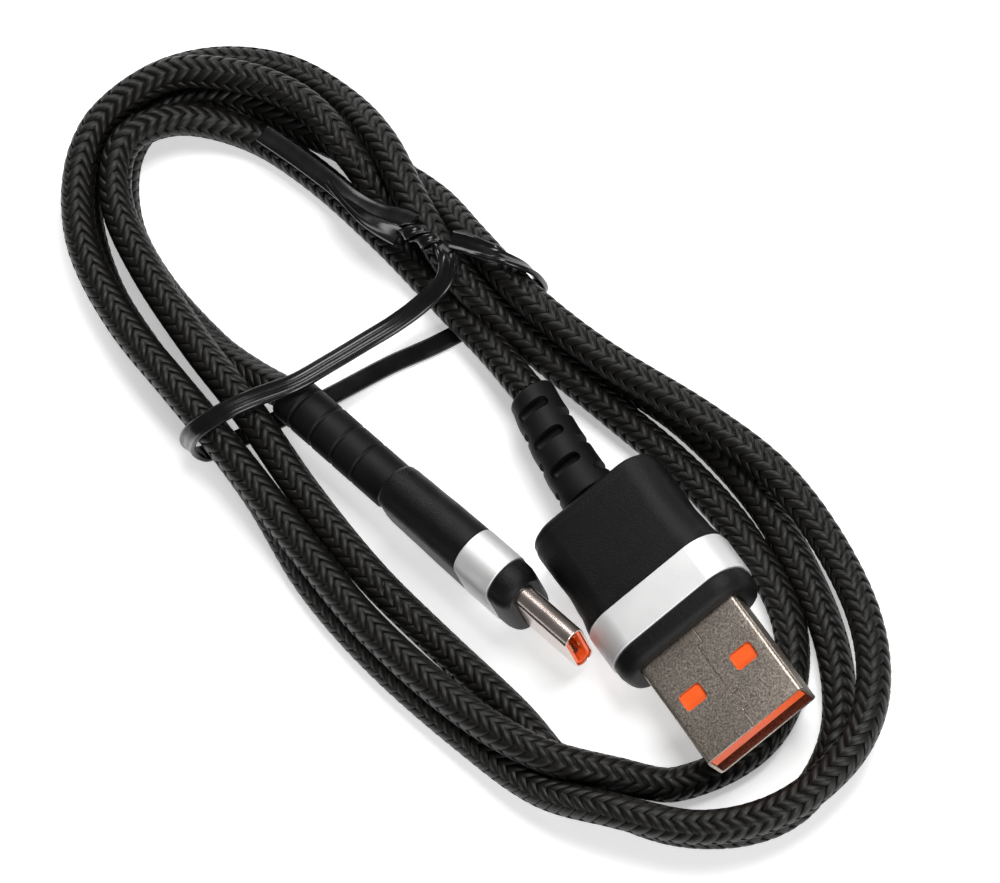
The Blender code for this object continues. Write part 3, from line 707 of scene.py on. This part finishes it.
nickel = Finish("shell_nickel")
nickel_run = nickel.place((60.0, 2600.0, 2600.0), (0.0, 0.0, -radians(a_yaw)))
nickel_lines = nickel.noise(nickel_run, 1.0, 3.0, 0.6)
nickel_spots = nickel.noise(nickel.place(), 5200.0, 2.0, 0.9)
nickel_tint = nickel.blend(nickel_spots * 2.6 - 0.8, (0.24, 0.190, 0.155), (0.84, 0.745, 0.650))
nickel.set(
    Base_Color=nickel.blend(nickel_lines * 0.3, nickel_tint, (0.54, 0.465, 0.400)),
    Metallic=1.0,
    Roughness=0.22 + nickel_spots * 0.26,
    Normal=nickel.bump(nickel_lines + nickel_spots, 0.35, 0.00002),
)

a_shell_rear, a_shell_mouth = 26.6, 44.1
rings = [rounded_ring(x, 12.0, 4.5, 0.5, steps=6) for x in (a_shell_rear, a_shell_mouth)]
rings += [rounded_ring(x, 11.4, 3.9, 0.25, steps=6) for x in (a_shell_mouth, a_shell_rear)]
a_shell = mesh_piece("usb_a_metal_shell", lofted(rings, closed=True), nickel.material)
window_x, window_side, window_width, window_length, window_corner = 37.7, 3.2, 2.6, 2.0, 0.45
window_outline = rounded_ring(0, window_width, window_length, window_corner, steps=6)
windows = []
for y in (-window_side, window_side):
    for low, high in ((1.5, 3.0), (-3.0, -1.5)):
        rims = []
        for z in (low, high):
            rims.append([Vector((window_x * MM + p.z, y * MM + p.y, z * MM)) for p in window_outline])
        windows.append(lofted(rims))
carved(a_shell, gathered(windows))
seam_start, seam_half, seam_floor, seam_top = 32.0, 0.075, 2.04, 2.4
seam_line = (
    (0.0, 0.75), (1.77, 0.8), (1.77, 0.05), (8.07, 0.05),
    (8.07, 0.85), (10.0, 0.85), (10.0, 0.05), (12.1, 0.05),
)
for (x0, y0), (x1, y1) in zip(seam_line, seam_line[1:]):
    low = (seam_start + min(x0, x1) - seam_half, min(y0, y1) - seam_half, seam_floor)
    high = (seam_start + max(x0, x1) + seam_half, max(y0, y1) + seam_half, seam_top)
    carved(a_shell, plain_block(low, high))
settled(softened(a_shell, 0.05, 50.0, 2), a_frame, "usb_a_plug", "usb_a_shell")

# ---------------------------------------------------------------------------
# The USB-A insulator: an orange moulded block that fills the shell's rear, and a tongue along the
# shell's upper wall that carries four gold contacts on its underside.

amber = Finish("insulator_orange")
amber_haze = amber.noise(amber.place(), 900.0, 2.0)
amber.set(
    Base_Color=amber.blend(amber_haze, (0.88, 0.095, 0.012), (0.95, 0.140, 0.018)),
    Roughness=0.30 + amber_haze * 0.14,
    Normal=amber.bump(amber_haze, 0.2, 0.00003),
)
profile = ((26.7, -1.85), (33.5, -1.85), (33.5, 0.2), (44.08, 0.2), (44.08, 1.87), (26.7, 1.87))
rings = [[Vector((x, side, z)) * MM for x, z in profile] for side in (-5.6, 5.6)]
a_tongue = mesh_piece("usb_a_orange_tongue", lofted(rings), amber.material)
grooves = []
contact_pitch = 2.25
for number in range(4):
    y = (number - 1.5) * contact_pitch
    grooves.append(plain_block((33.6, y - 0.62, 0.0), (43.2, y + 0.62, 0.24)))
carved(a_tongue, gathered(grooves))
settled(softened(a_tongue, 0.08, 50.0, 2), a_frame, "usb_a_plug", "usb_a_insulator")

# ---------------------------------------------------------------------------
# The USB-C strain relief: a plain rubber sleeve with four shallow grooves round it, moulded over the
# cord where it passes under the tie.

c_frame = plug_frame((-15.3, -6.6, 5.7), 90.0, 0.0, 0.5)
c_relief_length = 15.5
c_grooves, groove_half, groove_depth = (2.6, 5.6, 8.6, 11.6), 0.24, 0.42
rings = [round_ring(0.0, 4.2), round_ring(0.1, 4.7), round_ring(0.35, 5.0)]
for step in range(1, 156):
    x = 0.35 + (c_relief_length - 0.4) * step / 155
    depth = max(max(0.0, 1.0 - ((x - groove) / groove_half) ** 2) for groove in c_grooves)
    rings.append(round_ring(x, 5.1 - groove_depth * depth))
rings += [round_ring(c_relief_length, 4.9), round_ring(15.55, 3.6), round_ring(16.7, 3.6)]
c_relief = mesh_piece("usb_c_strain_relief_sleeve", lofted(rings), rubber.material, 50)
c_relief.data.transform(c_frame)
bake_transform(c_relief)
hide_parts("usb_c_strain_relief")

# ---------------------------------------------------------------------------
# The USB-C housing: the same grained black grip, slimmer and flaring towards its satin metal ring,
# with a black nose in front.

c_body_rear = ((15.8, 6.9, 3.9, 1.85), (15.82, 7.4, 4.3, 2.05), (16.0, 8.0, 4.75, 2.3))
c_body_stations = (
    (16.4, 8.5, 5.05, 2.45), (17.2, 8.75, 5.2, 2.5), (20.0, 9.4, 5.25, 2.5),
    (24.0, 10.5, 5.35, 2.55), (27.4, 11.1, 5.4, 2.6),
)
c_body_inside = (
    (27.4, 8.6, 3.8, 1.8), (17.0, 6.8, 3.6, 1.7), (17.0, 3.9, 3.9, 1.949), (15.8, 3.9, 3.9, 1.949),
)
rings = [rounded_ring(*station) for station in c_body_rear]
rings += housing(c_body_stations)
rings += [rounded_ring(*station) for station in c_body_inside]
c_body = mesh_piece("usb_c_grip", lofted(rings, closed=True), grip.material)
settled(softened(c_body, 0.12, 42.0), c_frame, "usb_c_plug", "usb_c_overmould")

c_nose_stations = (
    (27.6, 9.9, 4.1, 1.95), (32.2, 9.9, 4.1, 1.95), (32.2, 10.85, 5.15, 2.5), (32.3, 11.0, 5.3, 2.6),
    (33.4, 10.9, 5.2, 2.55), (34.1, 10.5, 4.8, 2.35), (34.5, 10.0, 4.3, 2.1), (34.7, 9.5, 3.8, 1.85),
    (34.7, 8.33, 2.48, 1.22), (27.6, 8.33, 2.48, 1.22),
)
rings = [rounded_ring(*station) for station in c_nose_stations]
c_nose = mesh_piece("usb_c_front_nose", lofted(rings, closed=True), grip.material)
settled(softened(c_nose, 0.10, 35.0), c_frame, "usb_c_plug", "usb_c_nose")

c_ring = band("usb_c_metal_ring", 27.5, 32.1, (11.2, 5.5, 2.7), (10.2, 4.4, 2.1))
settled(c_ring, c_frame, "usb_c_plug", "usb_c_ring")

# ---------------------------------------------------------------------------
# The USB-C shell: a drawn oval tube of polished, slightly rosy plated steel, and inside it the orange
# liner with its side latches and two rows of gold contacts.

polished = Finish("shell_polished")
polished_haze = polished.noise(polished.place(), 500.0, 2.0)
polished.set(
    Base_Color=polished.blend(polished_haze, (0.74, 0.62, 0.56), (0.84, 0.73, 0.67)),
    Metallic=1.0,
    Roughness=0.20 + polished_haze * 0.10,
)
c_shell_rear, c_shell_mouth = 28.7, 41.7
rings = [rounded_ring(x, 8.25, 2.4, 1.19, steps=14) for x in (c_shell_rear, c_shell_mouth)]
rings += [rounded_ring(x, 7.81, 1.96, 0.97, steps=14) for x in (c_shell_mouth, c_shell_rear)]
c_shell = mesh_piece("usb_c_metal_shell", lofted(rings, closed=True), polished.material)
settled(softened(c_shell, 0.07, 60.0), c_frame, "usb_c_plug", "usb_c_shell")

c_liner_stations = (
    (30.6, 7.7, 1.86, 0.92), (41.45, 7.7, 1.86, 0.92), (41.45, 7.15, 1.25, 0.6), (41.1, 6.9, 1.0, 0.45),
    (35.5, 6.9, 1.0, 0.45),
)
rings = [rounded_ring(*station) for station in c_liner_stations]
c_liner = mesh_piece("usb_c_orange_liner", lofted(rings), amber.material)
settled(softened(c_liner, 0.04, 60.0, 2), c_frame, "usb_c_plug", "usb_c_insulator")

# ---------------------------------------------------------------------------
# Inside the plugs: gold contacts, steel latches, crimps and shields, the pale inner moulding, the
# board with its resistor, and the four coloured wires.

gold = Finish("contact_gold")
gold_haze = gold.noise(gold.place(), 1500.0)
gold.set(
    Base_Color=gold.blend(gold_haze, (0.80, 0.55, 0.20), (0.93, 0.70, 0.32)),
    Metallic=1.0,
    Roughness=0.14 + gold_haze * 0.12,
)


def moulded(name, colour, dark, roughness):
    """A moulded plastic with a faint cloudiness and a matching change of gloss."""
    made = Finish(name)
    cloud = made.noise(made.place(), 700.0, 2.0)
    made.set(Base_Color=made.blend(cloud, colour, dark), Roughness=roughness + cloud * 0.12)
    return made.material


inner_looks = {
    "contact": gold.material,
    "latch": nickel.material,
    "crimp": nickel.material,
    "rear_shield": nickel.material,
    "inner_mould": moulded("inner_mould", (0.76, 0.74, 0.69), (0.68, 0.66, 0.60), 0.42),
    "board": moulded("board_green", (0.03, 0.19, 0.07), (0.02, 0.13, 0.05), 0.30),
    "resistor": moulded("resistor_black", (0.02, 0.02, 0.02), (0.03, 0.03, 0.03), 0.40),
    "wire_red": moulded("wire_red", (0.60, 0.02, 0.02), (0.48, 0.015, 0.015), 0.32),
    "wire_white": moulded("wire_white", (0.80, 0.80, 0.78), (0.72, 0.72, 0.70), 0.32),
    "wire_green": moulded("wire_green", (0.03, 0.35, 0.06), (0.02, 0.27, 0.05), 0.32),
    "wire_black": moulded("wire_black", (0.02, 0.02, 0.02), (0.03, 0.03, 0.03), 0.32),
}
for node_name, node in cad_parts.items():
    for word, look in inner_looks.items():
        if word in node_name:
            node.data.materials.clear()
            node.data.materials.append(look)

cord_end_pieces = [a_relief, a_body, a_nose, a_ring, a_shell, a_tongue]
cord_end_pieces += [c_relief, c_body, c_nose, c_ring, c_shell, c_liner]

# ---------------------------------------------------------------------------
# The cord is limp and wound into the coil; it leaves the USB-A strain relief and ends in the USB-C plug.

# ---------------------------------------------------------------------------
# The table that it lies on is a plain white board that glows a little, so it stays white between the
# strands. Soft light comes from a panel over it, one at the left and one in front.

paper = Finish("table_white")
paper.set(
    Base_Color=(0.90, 0.90, 0.90, 1.0),
    Roughness=0.9,
    Emission_Color=(1.0, 1.0, 1.0, 1.0),
    Emission_Strength=0.42,
)
ground = bmesh.new()
bmesh.ops.create_grid(ground, x_segments=1, y_segments=1, size=1.5)
ground_mesh = bpy.data.meshes.new("table")
ground.to_mesh(ground_mesh)
ground.free()
table = mesh_piece("table", ground_mesh, paper.material)
table_drop = 0.0001
table.location.z = -table_drop

world = bpy.data.worlds.new("room")
world.use_nodes = True
background = world.node_tree.nodes["Background"]
background.inputs["Color"].default_value = (1.0, 1.0, 1.0, 1.0)
background.inputs["Strength"].default_value = 0.11
bpy.context.scene.world = world

lamps = (
    ("ceiling_panel", (0.02, 0.20, 0.52), 0.24, 2.5),
    ("left_panel", (-0.45, 0.25, 0.30), 0.25, 1.5),
    ("front_panel", (0.50, -0.12, 0.26), 0.22, 2.0),
)
for name, spot, size, power in lamps:
    lamp_data = bpy.data.lights.new(name, "AREA")
    lamp_data.size = size
    lamp_data.energy = power
    lamp = bpy.data.objects.new(name, lamp_data)
    aim = Vector(spot).to_track_quat("Z", "Y").to_matrix().to_4x4()
    lamp.matrix_world = Matrix.Translation(spot) @ aim
    bpy.context.collection.objects.link(lamp)

bpy.context.scene.view_settings.view_transform = "Standard"
